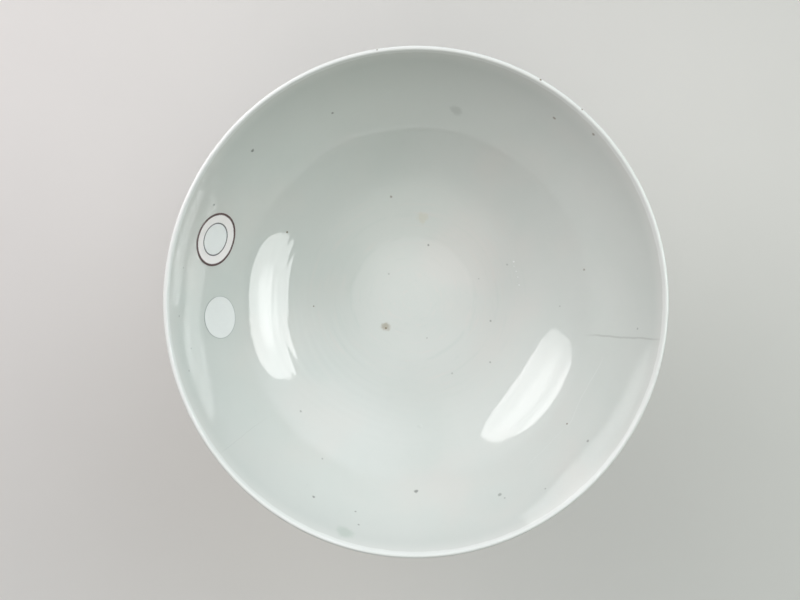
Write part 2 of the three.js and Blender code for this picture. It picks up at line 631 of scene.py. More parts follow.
@dataclass(frozen=True)
class GlazeFinish:
    """Clear, faintly grey-green glaze over white porcelain.

    Attributes:
        name: The material's name.
        colour: Its colour at common thickness.
        thick: Its colour where it has pooled.
        body: The warmer colour where the clay shows through.
        roughness: How far reflections blur.
        index: How strongly it bends light, which sets its gloss.
        speck_pitch: About how far apart the fine specks lie.
        peel_pitch: Size of the orange peel's dimples.
        relief_depth: How deep the glaze's relief may be.
    """

    name: str
    colour: Colour = (0.668, 0.702, 0.672)
    thick: Colour = (0.590, 0.650, 0.615)
    body: Colour = (0.715, 0.700, 0.665)
    roughness: float = 0.045
    index: float = 1.53
    speck_pitch: float = 9 * MM
    peel_pitch: float = 2.2 * MM
    relief_depth: float = 0.08 * MM

    def start(self) -> tuple[GlazeSheet, Socket]:
        """Lays the glaze's even parts.

        Returns:
            The sheet, and the colour so far.
        """
        sheet = GlazeSheet(self.name)
        sheet.shader.inputs["Roughness"].default_value = self.roughness
        sheet.shader.inputs["IOR"].default_value = self.index
        cloud = sheet.ease(sheet.noise(28 * MM, 3.0), 0.40, 0.75, 0.30)
        colour = sheet.mix(cloud, self.colour, self.thick)
        warm = sheet.ease(sheet.noise(34 * MM, 2.0, 11.0), 0.48, 0.72, 0.45)
        return sheet, sheet.mix(warm, colour, self.body)

    def specks(self, sheet: GlazeSheet, colour: Socket) -> Socket:
        """Scatters fine iron specks.

        Args:
            sheet: The material's sheet.
            colour: The colour so far.

        Returns:
            The colour with specks.
        """
        cells = sheet.node("ShaderNodeTexVoronoi", feature="F1")
        sheet.feed(cells.inputs["Vector"], sheet.place)
        cells.inputs["Scale"].default_value = 1.0 / self.speck_pitch
        chance = sheet.node("ShaderNodeSeparateColor")
        sheet.feed(chance.inputs[0], cells.outputs["Color"])
        size = sheet.ease(chance.outputs["Red"], 0.72, 1.0, 0.055)
        inside = sheet.math("SUBTRACT", size, cells.outputs["Distance"])
        mask = sheet.ease(inside, 0.0, 0.02, 0.75)
        return sheet.mix(mask, colour, IRON_BROWN)

    def relief(self, sheet: GlazeSheet, bumps: Sequence[tuple[Vector, float]] = ()) -> None:
        """Gives the glaze its faint orange peel, and small bumps where grit lies under it.

        Args:
            sheet: The material's sheet.
            bumps: The middle and the half width of each bump.
        """
        total = sheet.math("MULTIPLY", sheet.noise(self.peel_pitch, 1.5, 3.0), 0.14)
        for centre, size in bumps:
            total = sheet.math("ADD", total, sheet.ease(sheet.away(centre), size, 0.2 * size))
        sheet.bump(total, self.relief_depth)


@dataclass(frozen=True)
class BowlFinish(GlazeFinish):
    """The bowl's glaze, with its own faults, painted glints and rings.

    Attributes:
        lip_top: Height of the lip's top.
        lip_run: How far down the lip the glaze runs thinner.
        lip_bead: How far down the lip's round edge is white.
        thin: Its colour where it has run thin.
        white: Its colour on the lip's round edge.
        floor_rings: Radius, half width and strength of the rings in the floor where it pools.
        marks: Faults and painted glints, with their centres in space.
        bumps: Middle and half width of bumps under the glaze.
        hairlines: Cracks and scratches.
    """

    lip_top: float = 0.0
    lip_run: float = 6.5 * MM
    lip_bead: float = 1.5 * MM
    thin: Colour = (0.82, 0.83, 0.80)
    white: Colour = (0.87, 0.895, 0.87)
    floor_rings: tuple[tuple[float, float, float], ...] = (
        (22.6 * MM, 1.3 * MM, 0.40),
        (30.8 * MM, 0.7 * MM, 0.25),
    )
    marks: tuple[tuple[FiringMarkOrPaintedGlint, Vector], ...] = ()
    bumps: tuple[tuple[Vector, float], ...] = ()
    hairlines: tuple[Hairline, ...] = ()

    def make(self) -> bpy.types.Material:
        """Lays the whole finish.

        Returns:
            The material.
        """
        sheet, colour = self.start()
        colour = self.wheel_streaks(sheet, colour)
        colour = self.pools(sheet, colour)
        colour = self.specks(sheet, colour)
        for line in self.hairlines:
            colour = self.hairline(sheet, colour, line)
        colour = self.lip(sheet, colour)
        normal = sheet.node("ShaderNodeTexCoord").outputs["Normal"]
        upper = sheet.ease(sheet.along(normal, UP), -0.3, 0.0)
        for mark, centre in self.marks:
            colour = self.mark(sheet, colour, mark, centre, upper)
        sheet.feed(sheet.shader.inputs["Base Color"], colour)
        self.relief(sheet, self.bumps)
        return sheet.material

    def lip(self, sheet: GlazeSheet, colour: Socket) -> Socket:
        """Thins the glaze towards the lip, which it leaves white.

        Args:
            sheet: The material's sheet.
            colour: The colour so far.

        Returns:
            The colour with its lip.
        """
        wander = sheet.math("MULTIPLY", sheet.noise(4 * MM, 2.0, 5.0), 0.8 * MM)
        edge = sheet.math("ADD", sheet.dot(UP), wander)
        run = sheet.ease(edge, self.lip_top - self.lip_run, self.lip_top + 0.5 * MM, 0.65)
        bead = sheet.ease(edge, self.lip_top - self.lip_bead, self.lip_top - 0.6 * self.lip_bead)
        return sheet.mix(bead, sheet.mix(run, colour, self.thin), self.white)

    def wheel_streaks(self, sheet: GlazeSheet, colour: Socket) -> Socket:
        """Smears faint streaks round the floor, as the wheel leaves them.

        Args:
            sheet: The material's sheet.
            colour: The colour so far.

        Returns:
            The colour with streaks.
        """
        floor = sheet.ease(sheet.from_axis(), 52 * MM, 30 * MM)
        dark = sheet.ease(sheet.streaks(0.9 * MM, 0.35, 2.0, 4.0), 0.56, 0.74, 0.22)
        colour = sheet.mix(sheet.math("MULTIPLY", dark, floor), colour, self.thick)
        pale = sheet.ease(sheet.streaks(1.6 * MM, 0.5, 2.0, 14.0), 0.54, 0.74, 0.35)
        return sheet.mix(sheet.math("MULTIPLY", pale, floor), colour, self.body)

    def pools(self, sheet: GlazeSheet, colour: Socket) -> Socket:
        """Thickens the glaze here and there over the floor's rings.

        Args:
            sheet: The material's sheet.
            colour: The colour so far.

        Returns:
            The colour with the rings.
        """
        wander = 1.2 * MM
        shift = sheet.math("MULTIPLY", sheet.noise(12 * MM), wander)
        radius = sheet.math("ADD", sheet.from_axis(), shift)
        broken = sheet.ease(sheet.streaks(2.2 * MM, 0.4, 2.0, 9.0), 0.40, 0.62)
        for middle, width, strength in self.floor_rings:
            off = sheet.math("ABSOLUTE", sheet.math("SUBTRACT", radius, middle + wander / 2))
            ring = sheet.math("MULTIPLY", sheet.ease(off, width, 0.0, strength), broken)
            colour = sheet.mix(ring, colour, self.thick)
        return colour

    def mark(
        self, sheet: GlazeSheet, colour: Socket, mark: FiringMarkOrPaintedGlint, centre: Vector, upper: Socket
    ) -> Socket:
        """Adds one fault or painted glint.

        Args:
            sheet: The material's sheet.
            colour: The colour so far.
            mark: The fault or painted glint.
            centre: Where it is.
            upper: How far the surface faces up, as the inside and the lip do.

        Returns:
            The colour with the fault.
        """
        wander = sheet.math("SUBTRACT", sheet.noise(mark.size, 3.0, mark.bearing), 0.5)
        reach = sheet.math("MULTIPLY", wander, 2.0 * mark.ragged * mark.size)
        distance = sheet.math("ADD", sheet.away(centre), reach)
        mask = sheet.ease(distance, mark.size, 0.35 * mark.size, mark.strength)
        return sheet.mix(sheet.math("MULTIPLY", mask, upper), colour, mark.colour)

    def hairline(self, sheet: GlazeSheet, colour: Socket, line: Hairline) -> Socket:
        """Draws one crack or scratch, which starts faint.

        Args:
            sheet: The material's sheet.
            colour: The colour so far.
            line: The crack or scratch.

        Returns:
            The colour with it.
        """
        start, end = line.ends()
        along = (end - start).normalized()
        across = Vector((-along.y, along.x, 0.0))
        wander = sheet.math("SUBTRACT", sheet.noise(9 * MM, 4.0, line.width), 0.5)
        bend = sheet.math("MULTIPLY", wander, 1.6 * MM)
        off = sheet.math("ABSOLUTE", sheet.math("ADD", sheet.dot(across, -across.dot(start)), bend))
        body = sheet.ease(off, line.width, 0.2 * line.width, line.strength)
        run = sheet.dot(along, -along.dot(start))
        fade = sheet.ease(run, 0.0, 7 * MM)
        stop = sheet.ease(run, (end - start).length + 1 * MM, (end - start).length)
        mask = sheet.math("MULTIPLY", sheet.math("MULTIPLY", body, fade), stop)
        return sheet.mix(mask, colour, line.colour)


@dataclass(frozen=True)
class StemFinish(GlazeFinish):
    """The stem's glaze, which stops above the bare foot ring.

    Attributes:
        glaze_edge: Height at which the glaze stops.
        roll_height: Height of the thicker roll of glaze along that edge.
        roll_width: Half of its width.
        bare: The colour of the bare foot ring.
        grit: The paler colour of the grit in it.
    """

    glaze_edge: float = 1.5 * MM
    roll_height: float = 1.3 * MM
    roll_width: float = 1.2 * MM
    bare: Colour = (0.66, 0.55, 0.43)
    grit: Colour = (0.80, 0.74, 0.66)

    def make(self) -> bpy.types.Material:
        """Lays the whole finish.

        Returns:
            The material.
        """
        sheet, colour = self.start()
        colour = self.specks(sheet, colour)
        wander = sheet.math("MULTIPLY", sheet.noise(5 * MM, 2.0, 2.0), 0.9 * MM)
        edge = sheet.math("SUBTRACT", sheet.dot(UP), wander)
        off = sheet.math("ABSOLUTE", sheet.math("SUBTRACT", edge, self.roll_height))
        roll = sheet.ease(off, self.roll_width, 0.0)
        colour = sheet.mix(sheet.math("MULTIPLY", roll, 0.6), colour, self.thick)
        bare = sheet.ease(edge, self.glaze_edge - 0.7 * MM, self.glaze_edge - 1.0 * MM)
        ring = sheet.mix(sheet.noise(0.8 * MM, 3.0, 8.0), self.bare, self.grit)
        sheet.feed(sheet.shader.inputs["Base Color"], sheet.mix(bare, colour, ring))
        dull = sheet.math("ADD", sheet.math("MULTIPLY", bare, 0.6), self.roughness)
        sheet.feed(sheet.shader.inputs["Roughness"], dull)
        self.relief(sheet)
        return sheet.material


@dataclass(frozen=True)
class SlipFinish(GlazeFinish):
    """The glaze over the slip joint, in the slightly darker, greener colour that the slip is given."""

    def make(self) -> bpy.types.Material:
        """Lays the whole finish.

        Returns:
            The material.
        """
        sheet, colour = self.start()
        sheet.feed(sheet.shader.inputs["Base Color"], self.specks(sheet, colour))
        self.relief(sheet)
        return sheet.material


@dataclass(frozen=True)
class PaperRing:
    """A ring printed on a sticker.

    Attributes:
        radius: Radius of its middle, as a share of the sticker's.
        width: Its width, the same way.
        ink: Its colour.
        strength: How dark it is.
    """

    radius: float
    width: float
    ink: Colour
    strength: float


@dataclass(frozen=True)
class PaperFinish:
    """Smooth label paper.

    Attributes:
        name: The material's name.
        colour: The paper.
        edge: Colour of a thin band along the edge.
        rings: The printed rings, from the outer one inwards.
        middle: The paper's colour within the innermost ring, if it is another.
        roughness: How matt the paper is.
    """

    name: str
    colour: Colour
    edge: Colour
    rings: tuple[PaperRing, ...] = ()
    middle: Colour | None = None
    roughness: float = 0.5

    def make(self) -> bpy.types.Material:
        """Lays the whole finish.

        Returns:
            The material.
        """
        sheet = GlazeSheet(self.name)
        spread = sheet.node("ShaderNodeUVMap").outputs["UV"]
        centred = sheet.node("ShaderNodeVectorMath", operation="DISTANCE")
        sheet.feed(centred.inputs[0], spread)
        centred.inputs[1].default_value = (0.5, 0.5, 0.0)
        share = sheet.math("MULTIPLY", centred.outputs["Value"], 2.0)
        paper = self.colour
        if self.middle:
            inner = self.rings[-1].radius
            paper = sheet.mix(sheet.ease(share, inner + 0.01, inner), paper, self.middle)
        fibres = sheet.ease(sheet.noise(0.7 * MM, 4.0), 0.3, 0.75, 0.16)
        colour = sheet.mix(fibres, paper, tuple(0.86 * part for part in self.colour))
        for ring in self.rings:
            off = sheet.math("ABSOLUTE", sheet.math("SUBTRACT", share, ring.radius))
            blur = sheet.math("MULTIPLY", sheet.noise(0.35 * MM, 2.0, ring.radius), 0.35 * ring.width)
            off = sheet.math("ADD", off, blur)
            line = sheet.ease(off, 0.75 * ring.width, 0.35 * ring.width, ring.strength)
            colour = sheet.mix(line, colour, ring.ink)
        # Blends a thin band at the paper's edge into the edge colour.
        edge_band = sheet.ease(share, 0.955, 0.99, 0.7)
        sheet.feed(sheet.shader.inputs["Base Color"], sheet.mix(edge_band, colour, self.edge))
        sheet.shader.inputs["Roughness"].default_value = self.roughness
        sheet.bump(sheet.noise(0.5 * MM, 3.0, 1.0), 0.02 * MM)
        return sheet.material


@dataclass
class ThrownBowl:
    """The bowl: one wall of smooth arcs, thin at the lip, with a low turned ring underneath.

    The inside wall and what lies on it share inside_surface(), so stickers follow its unevenness.

    Attributes:
        well_radius: Where the floor's arc ends.
        well_slope: The wall's slope there, in degrees.
        shoulder_inset: How far in from the lip the last arc starts.
        shoulder_slope: The wall's slope there, in degrees.
        lip_slope: The wall's slope at the lip, in degrees.
        lip_wall: The wall's thickness at the lip.
        base_wall: The wall's thickness in the middle of the floor.
        ring_radius: Outer radius of the turned ring underneath.
        hollow_radius: Inner radius of that ring.
        fillet_radius: Where the slip's fillet ends on the underside.
        narrower_in_x: Share by which the fired rim is narrower along X.
        rim_dip: How far the fired rim dips on two sides.
        dip_turn: Turns those two sides round the axis, in radians.
        calm_lip: How far in from the rim the ripples start to fade, and how far in they are gone.
        tooled: Radii between which the tool's marks come and go.
        floor_rings: Radius, half width and height of the rings thrown in the floor.
        ripples: Unevenness of the bowl.
        turning: The tool's marks on the inside.
        hollow_points: Points on the line inside the turned ring.
        under_points: Points on the line of the underside.
        lip_points: Points on the line round the lip.
        inside_points: Points on the line of the inside.
    """

    well_radius: float = 38 * MM
    well_slope: float = 17.6
    shoulder_inset: float = 17.5 * MM
    shoulder_slope: float = 46.6
    lip_slope: float = 66.8
    lip_wall: float = 1.6 * MM
    base_wall: float = 5.6 * MM
    ring_radius: float = 21.5 * MM
    hollow_radius: float = 16 * MM
    fillet_radius: float = 30.5 * MM
    narrower_in_x: float = 0.0140
    rim_dip: float = 0.25 * MM
    dip_turn: float = 0.9
    calm_lip: tuple[float, float] = (5 * MM, 2 * MM)
    tooled: tuple[float, float, float, float] = (2 * MM, 8 * MM, 51 * MM, 56 * MM)
    floor_rings: tuple[tuple[float, float, float], ...] = (
        (22.4 * MM, 1.4 * MM, -0.03 * MM),
        (30.8 * MM, 1.2 * MM, 0.012 * MM),
        (12.5 * MM, 1.5 * MM, 0.01 * MM),
    )
    ripples: tuple[Ripple, ...] = (
        Ripple(0.003 * MM, 6 * MM, 17),
        Ripple(0.020 * MM, 22 * MM, 5),
        Ripple(0.12 * MM, 90 * MM, 8),
    )
    turning: TurningMarks = TurningMarks(0.012 * MM, 3.0 * MM, 197.0, 0.10, 3)
    hollow_points: int = 8
    under_points: int = 62
    lip_points: int = 13
    inside_points: int = 235

    def __post_init__(self) -> None:
        """Works out the wall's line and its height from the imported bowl."""
        low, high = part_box("bowl")
        self.rim_radius = high.y - BOX_INSET
        slope = math.radians(self.lip_slope)
        self.lip_round = self.lip_wall / 2
        reach = self.rim_radius - self.lip_round * (1 + math.sin(slope))
        self.inside = Meridian(
            [
                Station(self.well_radius, self.well_slope),
                Station(reach - self.shoulder_inset, self.shoulder_slope),
                Station(reach, self.lip_slope),
            ]
        )
        self.face = low.z
        self.top = high.z - BOX_INSET
        end = self.behind(np.array([self.inside.length]), np.array([self.lip_round]))[0]
        self.lift = self.top - self.lip_round - end[1]

    def behind(self, lengths: np.ndarray, distances: np.ndarray) -> np.ndarray:
        """Gives points behind the inside wall, before the bowl is lifted.

        Args:
            lengths: Lengths along the inside wall.
            distances: How far behind it.

        Returns:
            Radius and height of each point.
        """
        radius, height, slope = self.inside.at(lengths)
        return np.stack([radius + distances * np.sin(slope), height - distances * np.cos(slope)], axis=-1)

    def wall(self, lengths: np.ndarray) -> np.ndarray:
        """Gives the wall's thickness at lengths along the inside."""
        share = lengths / self.inside.length
        return self.base_wall + (self.lip_wall - self.base_wall) * share

    def outside(self, lengths: np.ndarray) -> np.ndarray:
        """Gives radius and height of the outside wall, lifted to its place."""
        return self.behind(lengths, self.wall(lengths)) + np.array([0.0, self.lift])

    def length_at(self, radius: float, outside: bool = False) -> float:
        """Finds the length along the inside that has a radius.

        Args:
            radius: The radius, of the inside wall or of the outside one.
            outside: Whether it is the outside wall's.

        Returns:
            The length.
        """
        lengths = np.linspace(0.0, self.inside.length, LOOKUP_STEPS)
        radii = self.outside(lengths)[:, 0] if outside else self.inside.at(lengths)[0]
        return float(np.interp(radius, radii, lengths))

    def fired(self, points: np.ndarray) -> np.ndarray:
        """Draws the rim out of round and lets it dip, as firing does.

        Args:
            points: Places on the bowl.

        Returns:
            The moved places.
        """
        radius = np.hypot(points[..., 0], points[..., 1])
        bearing = np.arctan2(points[..., 1], points[..., 0])
        share = smooth_step(radius, self.fillet_radius, self.rim_radius)
        moved = points.copy()
        moved[..., 0] *= 1.0 - self.narrower_in_x * share
        moved[..., 2] -= self.rim_dip * share * (0.5 + 0.5 * np.cos(2.0 * bearing + self.dip_turn))
        return moved

    def calm(self, radius: np.ndarray) -> np.ndarray:
        """Gives the share of the ripples that radii take, which fades out below the lip."""
        start, end = self.calm_lip
        return 1.0 - smooth_step(radius, self.rim_radius - start, self.rim_radius - end)

    def thrown(self, points: np.ndarray, normals: np.ndarray, free: np.ndarray) -> np.ndarray:
        """Adds the soft ripples of throwing and turning.

        Args:
            points: Places on the bowl.
            normals: Directions out of the clay there.
            free: Share of the ripples that each place takes.

        Returns:
            The moved places.
        """
        height = sum(ripple.at(points) for ripple in self.ripples)
        return points + normals * (height * free)[..., None]

    def inside_surface(self, lengths: np.ndarray, bearings: np.ndarray, above: np.ndarray) -> np.ndarray:
        """Gives places on or above the inside wall.

        Args:
            lengths: Lengths along the wall from the axis.
            bearings: Angles round from +X.
            above: Distances off the wall, into the bowl.

        Returns:
            The places, with x, y and z along the last axis.
        """
        radius, height, slope = self.inside.at(lengths)
        outward = np.stack([np.cos(bearings), np.sin(bearings), np.zeros_like(radius)], axis=-1)
        upward = np.array([0.0, 0.0, 1.0])
        points = outward * radius[..., None] + upward * (height + self.lift)[..., None]
        normals = -outward * np.sin(slope)[..., None] + upward * np.cos(slope)[..., None]
        rings = sum(
            raised * np.exp(-(((radius - middle) / width) ** 2))
            for middle, width, raised in self.floor_rings
        )
        points = self.thrown(points, normals, self.calm(radius))
        marks = self.turning.at(lengths, bearings) * rise_and_fall(radius, self.tooled)
        return self.fired(points + normals * (rings + marks + above)[..., None])

    def line(self) -> tuple[np.ndarray, slice, np.ndarray]:
        """Lays the turned line, from the axis underneath to the axis inside.

        Returns:
            The line, which of its points are the inside wall, and their lengths.
        """
        spots = [self.length_at(radius, True) for radius in (self.hollow_radius, self.ring_radius)]
        hollow = self.outside(np.linspace(0.0, spots[0], self.hollow_points))
        under = self.outside(np.linspace(spots[1], self.inside.length, self.under_points))
        middle = self.behind(np.array([self.inside.length]), np.array([self.lip_round]))[0]
        middle = middle + np.array([0.0, self.lift])
        quarter = 0.5 * math.pi
        turns = math.radians(self.lip_slope) + np.linspace(-quarter, quarter, self.lip_points)[1:-1]
        lip = middle + self.lip_round * np.stack([np.cos(turns), np.sin(turns)], axis=-1)
        lengths = np.linspace(self.inside.length, 0.0, self.inside_points)
        inside = np.stack(self.inside.at(lengths)[:2], axis=-1) + np.array([0.0, self.lift])
        parts = [hollow, self.ring_face(), under, lip, inside]
        first = sum(len(part) for part in parts[:-1])
        return np.concatenate(parts), slice(first, first + len(inside)), lengths

    def ring_face(self) -> np.ndarray:
        """Gives radius and height of the turned ring's two edges, the inner one first."""
        return np.array([[self.hollow_radius, self.face], [self.ring_radius, self.face]])

    def build(self) -> bpy.types.Object:
        """Turns, fires and glazes the bowl.

        Returns:
            The bowl.
        """
        line, inside, lengths = self.line()
        turning = Turning(line)
        points = turning.points()
        radius = line[:, 0]
        free = smooth_step(radius, self.fillet_radius, self.fillet_radius + 12 * MM) * self.calm(radius)
        tangent = np.gradient(line, axis=0)
        tangent /= np.maximum(np.linalg.norm(tangent, axis=1, keepdims=True), 1e-12)
        outward = np.stack([np.cos(turning.angles), np.sin(turning.angles)], axis=-1)
        normals = np.zeros_like(points)
        normals[..., :2] = tangent[:, 1, None, None] * outward[None]
        normals[..., 2] = -tangent[:, 0, None]
        free = np.broadcast_to(free[:, None], points.shape[:2])
        points = self.fired(self.thrown(points, normals, free))
        around = np.broadcast_to(turning.angles, (len(lengths), TURN_STEPS))
        along = np.broadcast_to(lengths[:, None], around.shape)
        points[inside] = self.inside_surface(along, around, np.zeros(around.shape))
        points[-1] = points[-1].mean(axis=0)
        piece = turning.mesh("porcelain_bowl", points)
        seat(piece, "bowl", self.glaze().make())
        return piece

    def glaze(self) -> BowlFinish:
        """Places the glaze's marks and bumps, and the painted glints, on the bowl.

        Returns:
            The bowl's finish.
        """
        marks = tuple((mark, self.spot(mark.bearing, mark.radius)) for mark in FIRING_MARKS_AND_PAINTED_GLINTS)
        bumps = tuple((self.spot(bearing, radius), size) for bearing, radius, size in BUMPS)
        return BowlFinish(
            "bowl_porcelain_glaze", lip_top=self.top, marks=marks, bumps=bumps, hairlines=HAIRLINES
        )

    def spot(self, bearing: float, radius: float) -> Vector:
        """Finds a place on the inside wall, or on the lip where the radius lies past the wall.

        Args:
            bearing: Degrees round from +X.
            radius: Distance from the axis.

        Returns:
            The place.
        """
        turn = math.radians(bearing)
        past = radius - (self.rim_radius - self.lip_round)
        if past > 0:
            height = self.top - self.lip_round + math.sqrt(max(self.lip_round**2 - past**2, 0.0))
            place = np.array([radius * math.cos(turn), radius * math.sin(turn), height])
            return Vector(self.fired(place))
        length = np.array([self.length_at(radius)])
        return Vector(self.inside_surface(length, np.array([turn]), np.zeros(1))[0])


FIRING_MARKS_AND_PAINTED_GLINTS: tuple[FiringMarkOrPaintedGlint, ...] = (
    FiringMarkOrPaintedGlint(42.0, 26.0 * MM, 20.0 * MM, CLAY_FLUSH, 0.38, 0.7),
    FiringMarkOrPaintedGlint(-133.4, 14.4 * MM, 2.1 * MM, CLAY_BROWN, 0.80, 0.7),
    FiringMarkOrPaintedGlint(-131.5, 14.9 * MM, 0.5 * MM, IRON_BROWN, 0.85),
    FiringMarkOrPaintedGlint(83.5, 29.8 * MM, 2.6 * MM, STRAW, 0.22, 1.0),
    FiringMarkOrPaintedGlint(77.7, 67.7 * MM, 2.6 * MM, ASH_GREY, 0.20, 0.8),
    FiringMarkOrPaintedGlint(-107.6, 81.2 * MM, 4.0 * MM, POOLED_GREEN, 0.36, 0.6),
    FiringMarkOrPaintedGlint(137.4, 76.1 * MM, 0.9 * MM, ASH_GREY, 0.85),
    FiringMarkOrPaintedGlint(113.9, 70.9 * MM, 0.6 * MM, ASH_GREY, 0.7),
    FiringMarkOrPaintedGlint(154.4, 76.8 * MM, 0.6 * MM, ASH_GREY, 0.6),
    FiringMarkOrPaintedGlint(52.8, 78.3 * MM, 0.8 * MM, IRON_BROWN, 0.6),
    FiringMarkOrPaintedGlint(43.4, 82.0 * MM, 0.8 * MM, IRON_BROWN, 0.6),
    FiringMarkOrPaintedGlint(102.3, 37.7 * MM, 0.6 * MM, IRON_BROWN, 0.55),
    FiringMarkOrPaintedGlint(73.6, 20.1 * MM, 0.6 * MM, ASH_GREY, 0.7),
    FiringMarkOrPaintedGlint(-89.5, 67.0 * MM, 0.9 * MM, ASH_GREY, 0.75, 0.9),
    FiringMarkOrPaintedGlint(-66.1, 73.2 * MM, 0.9 * MM, ASH_GREY, 0.6),
    FiringMarkOrPaintedGlint(-65.2, 74.6 * MM, 0.5 * MM, ASH_GREY, 0.5),
    FiringMarkOrPaintedGlint(-54.8, 77.9 * MM, 0.5 * MM, ASH_GREY, 0.5),
    FiringMarkOrPaintedGlint(-117.9, 75.6 * MM, 0.7 * MM, ASH_GREY, 0.7),
    FiringMarkOrPaintedGlint(-106.1, 75.0 * MM, 0.5 * MM, ASH_GREY, 0.6),
    FiringMarkOrPaintedGlint(-104.6, 78.1 * MM, 0.5 * MM, ASH_GREY, 0.6),
    FiringMarkOrPaintedGlint(-38.5, 76.5 * MM, 0.7 * MM, ASH_GREY, 0.6),
    FiringMarkOrPaintedGlint(-120.4, 64.7 * MM, 0.5 * MM, ASH_GREY, 0.45),
    FiringMarkOrPaintedGlint(-135.5, 57.0 * MM, 0.6 * MM, ASH_GREY, 0.5),
    FiringMarkOrPaintedGlint(-6.7, 77.3 * MM, 0.5 * MM, ASH_GREY, 0.5),
    FiringMarkOrPaintedGlint(10.0, 61.7 * MM, 0.6 * MM, IRON_BROWN, 0.6),
    FiringMarkOrPaintedGlint(-2.8, 52.9 * MM, 0.4 * MM, ASH_GREY, 0.4),
    FiringMarkOrPaintedGlint(-16.4, 29.6 * MM, 0.5 * MM, ASH_GREY, 0.6),
    FiringMarkOrPaintedGlint(-39.7, 36.6 * MM, 0.5 * MM, ASH_GREY, 0.5),
    FiringMarkOrPaintedGlint(60.8, 84.7 * MM, 0.5 * MM, IRON_BROWN, 0.9),
    FiringMarkOrPaintedGlint(49.3, 84.7 * MM, 0.4 * MM, IRON_BROWN, 0.9),
    FiringMarkOrPaintedGlint(99.0, 84.6 * MM, 0.4 * MM, IRON_BROWN, 0.7),
    FiringMarkOrPaintedGlint(171.4, 80.1 * MM, 0.4 * MM, ASH_GREY, 0.4),
    FiringMarkOrPaintedGlint(-177.0, 80.6 * MM, 0.5 * MM, ASH_GREY, 0.4),
    FiringMarkOrPaintedGlint(-168.7, 78.5 * MM, 0.4 * MM, ASH_GREY, 0.4),
    FiringMarkOrPaintedGlint(-163.7, 80.5 * MM, 0.5 * MM, ASH_GREY, 0.35),
    FiringMarkOrPaintedGlint(135.1, 12.4 * MM, 0.5 * MM, ASH_GREY, 0.35),
    FiringMarkOrPaintedGlint(19.7, 36.3 * MM, 0.5 * MM, ASH_GREY, 0.35),
    FiringMarkOrPaintedGlint(16.2, 25.1 * MM, 0.4 * MM, ASH_GREY, 0.3),
    FiringMarkOrPaintedGlint(-62.5, 31.1 * MM, 0.5 * MM, ASH_GREY, 0.35),
    FiringMarkOrPaintedGlint(-70.5, 15.7 * MM, 0.4 * MM, ASH_GREY, 0.35),
    # Painted glints: five white dots in a row that paint small highlights on the inside wall.
    FiringMarkOrPaintedGlint(20.0, 38.9 * MM, 0.45 * MM, PAINTED_GLINT_AND_SCRATCH_WHITE, 0.8),
    FiringMarkOrPaintedGlint(17.6, 38.5 * MM, 0.3 * MM, PAINTED_GLINT_AND_SCRATCH_WHITE, 0.6),
    FiringMarkOrPaintedGlint(14.6, 38.7 * MM, 0.3 * MM, PAINTED_GLINT_AND_SCRATCH_WHITE, 0.7),
    FiringMarkOrPaintedGlint(11.5, 38.8 * MM, 0.3 * MM, PAINTED_GLINT_AND_SCRATCH_WHITE, 0.6),
    FiringMarkOrPaintedGlint(7.1, 38.8 * MM, 0.4 * MM, PAINTED_GLINT_AND_SCRATCH_WHITE, 0.8),
)

# Bearing in degrees, distance from the axis and half width of each bump under the glaze.
BUMPS: tuple[tuple[float, float, float], ...] = (
    (-86.9, 46.2 * MM, 1.0 * MM),
    (20.0, 38.9 * MM, 0.5 * MM),
    (7.1, 38.8 * MM, 0.5 * MM),
    (10.0, 61.7 * MM, 0.6 * MM),
)

HAIRLINES: tuple[Hairline, ...] = (
    Hairline((-11.8, 60.6 * MM), (-8.1, 84.6 * MM), 0.52 * MM, 0.25),
    Hairline((-141.5, 63.8 * MM), (-142.8, 83.4 * MM), 0.12 * MM, 0.14),
    Hairline((-15.0, 69.0 * MM), (-39.0, 69.3 * MM), 0.14 * MM, 0.18, PAINTED_GLINT_AND_SCRATCH_WHITE),
    Hairline((-38.0, 69.3 * MM), (-55.0, 69.6 * MM), 0.13 * MM, 0.12, PAINTED_GLINT_AND_SCRATCH_WHITE),
)


@dataclass
class LutedSlip:
    """The ring of slip between bowl and stem, with its bead inside and its fillet outside.

    Attributes:
        bowl: The bowl that it holds.
        bead: How far the bead stands into the hollow.
        under_points: Points on the line against the bowl.
        fillet_points: Points on the line of the fillet.
        bead_points: Points on the line round the bead.
        finish: Its glaze.
    """

    bowl: ThrownBowl
    bead: float = 0.7 * MM
    under_points: int = 30
    fillet_points: int = 40
    bead_points: int = 13
    finish: SlipFinish = SlipFinish("slip_porcelain_glaze", colour=(0.645, 0.690, 0.658))

    def line(self) -> np.ndarray:
        """Lays the closed line round the slip.

        Returns:
            Radius and height of its points.
        """
        low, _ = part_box("luting_slip")
        bowl = self.bowl
        seat_ends = [bowl.length_at(radius, True) for radius in (bowl.ring_radius, bowl.fillet_radius)]
        under = bowl.outside(np.linspace(*seat_ends, self.under_points))
        slope = bowl.inside.at(np.array([seat_ends[1]]))[2][0]
        tip = under[-1]
        corner = np.array([STEM_RADIUS, tip[1] - (tip[0] - STEM_RADIUS) * math.tan(slope)])
        edge = np.array([STEM_RADIUS, low.z])
        share = np.linspace(0.0, 1.0, self.fillet_points)[:, None]
        fillet = (1 - share) ** 2 * edge + 2 * share * (1 - share) * corner + share**2 * tip
        turns = np.linspace(0.0, math.pi, self.bead_points)[1:-1]
        middle = (bowl.face + low.z) / 2
        half = (bowl.face - low.z) / 2
        radius = bowl.hollow_radius - self.bead * np.sin(turns)
        bead = np.stack([radius, middle + half * np.cos(turns)], axis=-1)
        start = np.array([[bowl.hollow_radius, low.z]])
        return np.concatenate([start, fillet, under[-2::-1], bowl.ring_face()[:1], bead])

    def build(self) -> bpy.types.Object:
        """Turns and glazes the slip.

        Returns:
            The ring of slip.
        """
        turning = Turning(self.line())
        piece = turning.mesh("slip_joint", turning.points())
        seat(piece, "luting_slip", self.finish.make())
        return piece


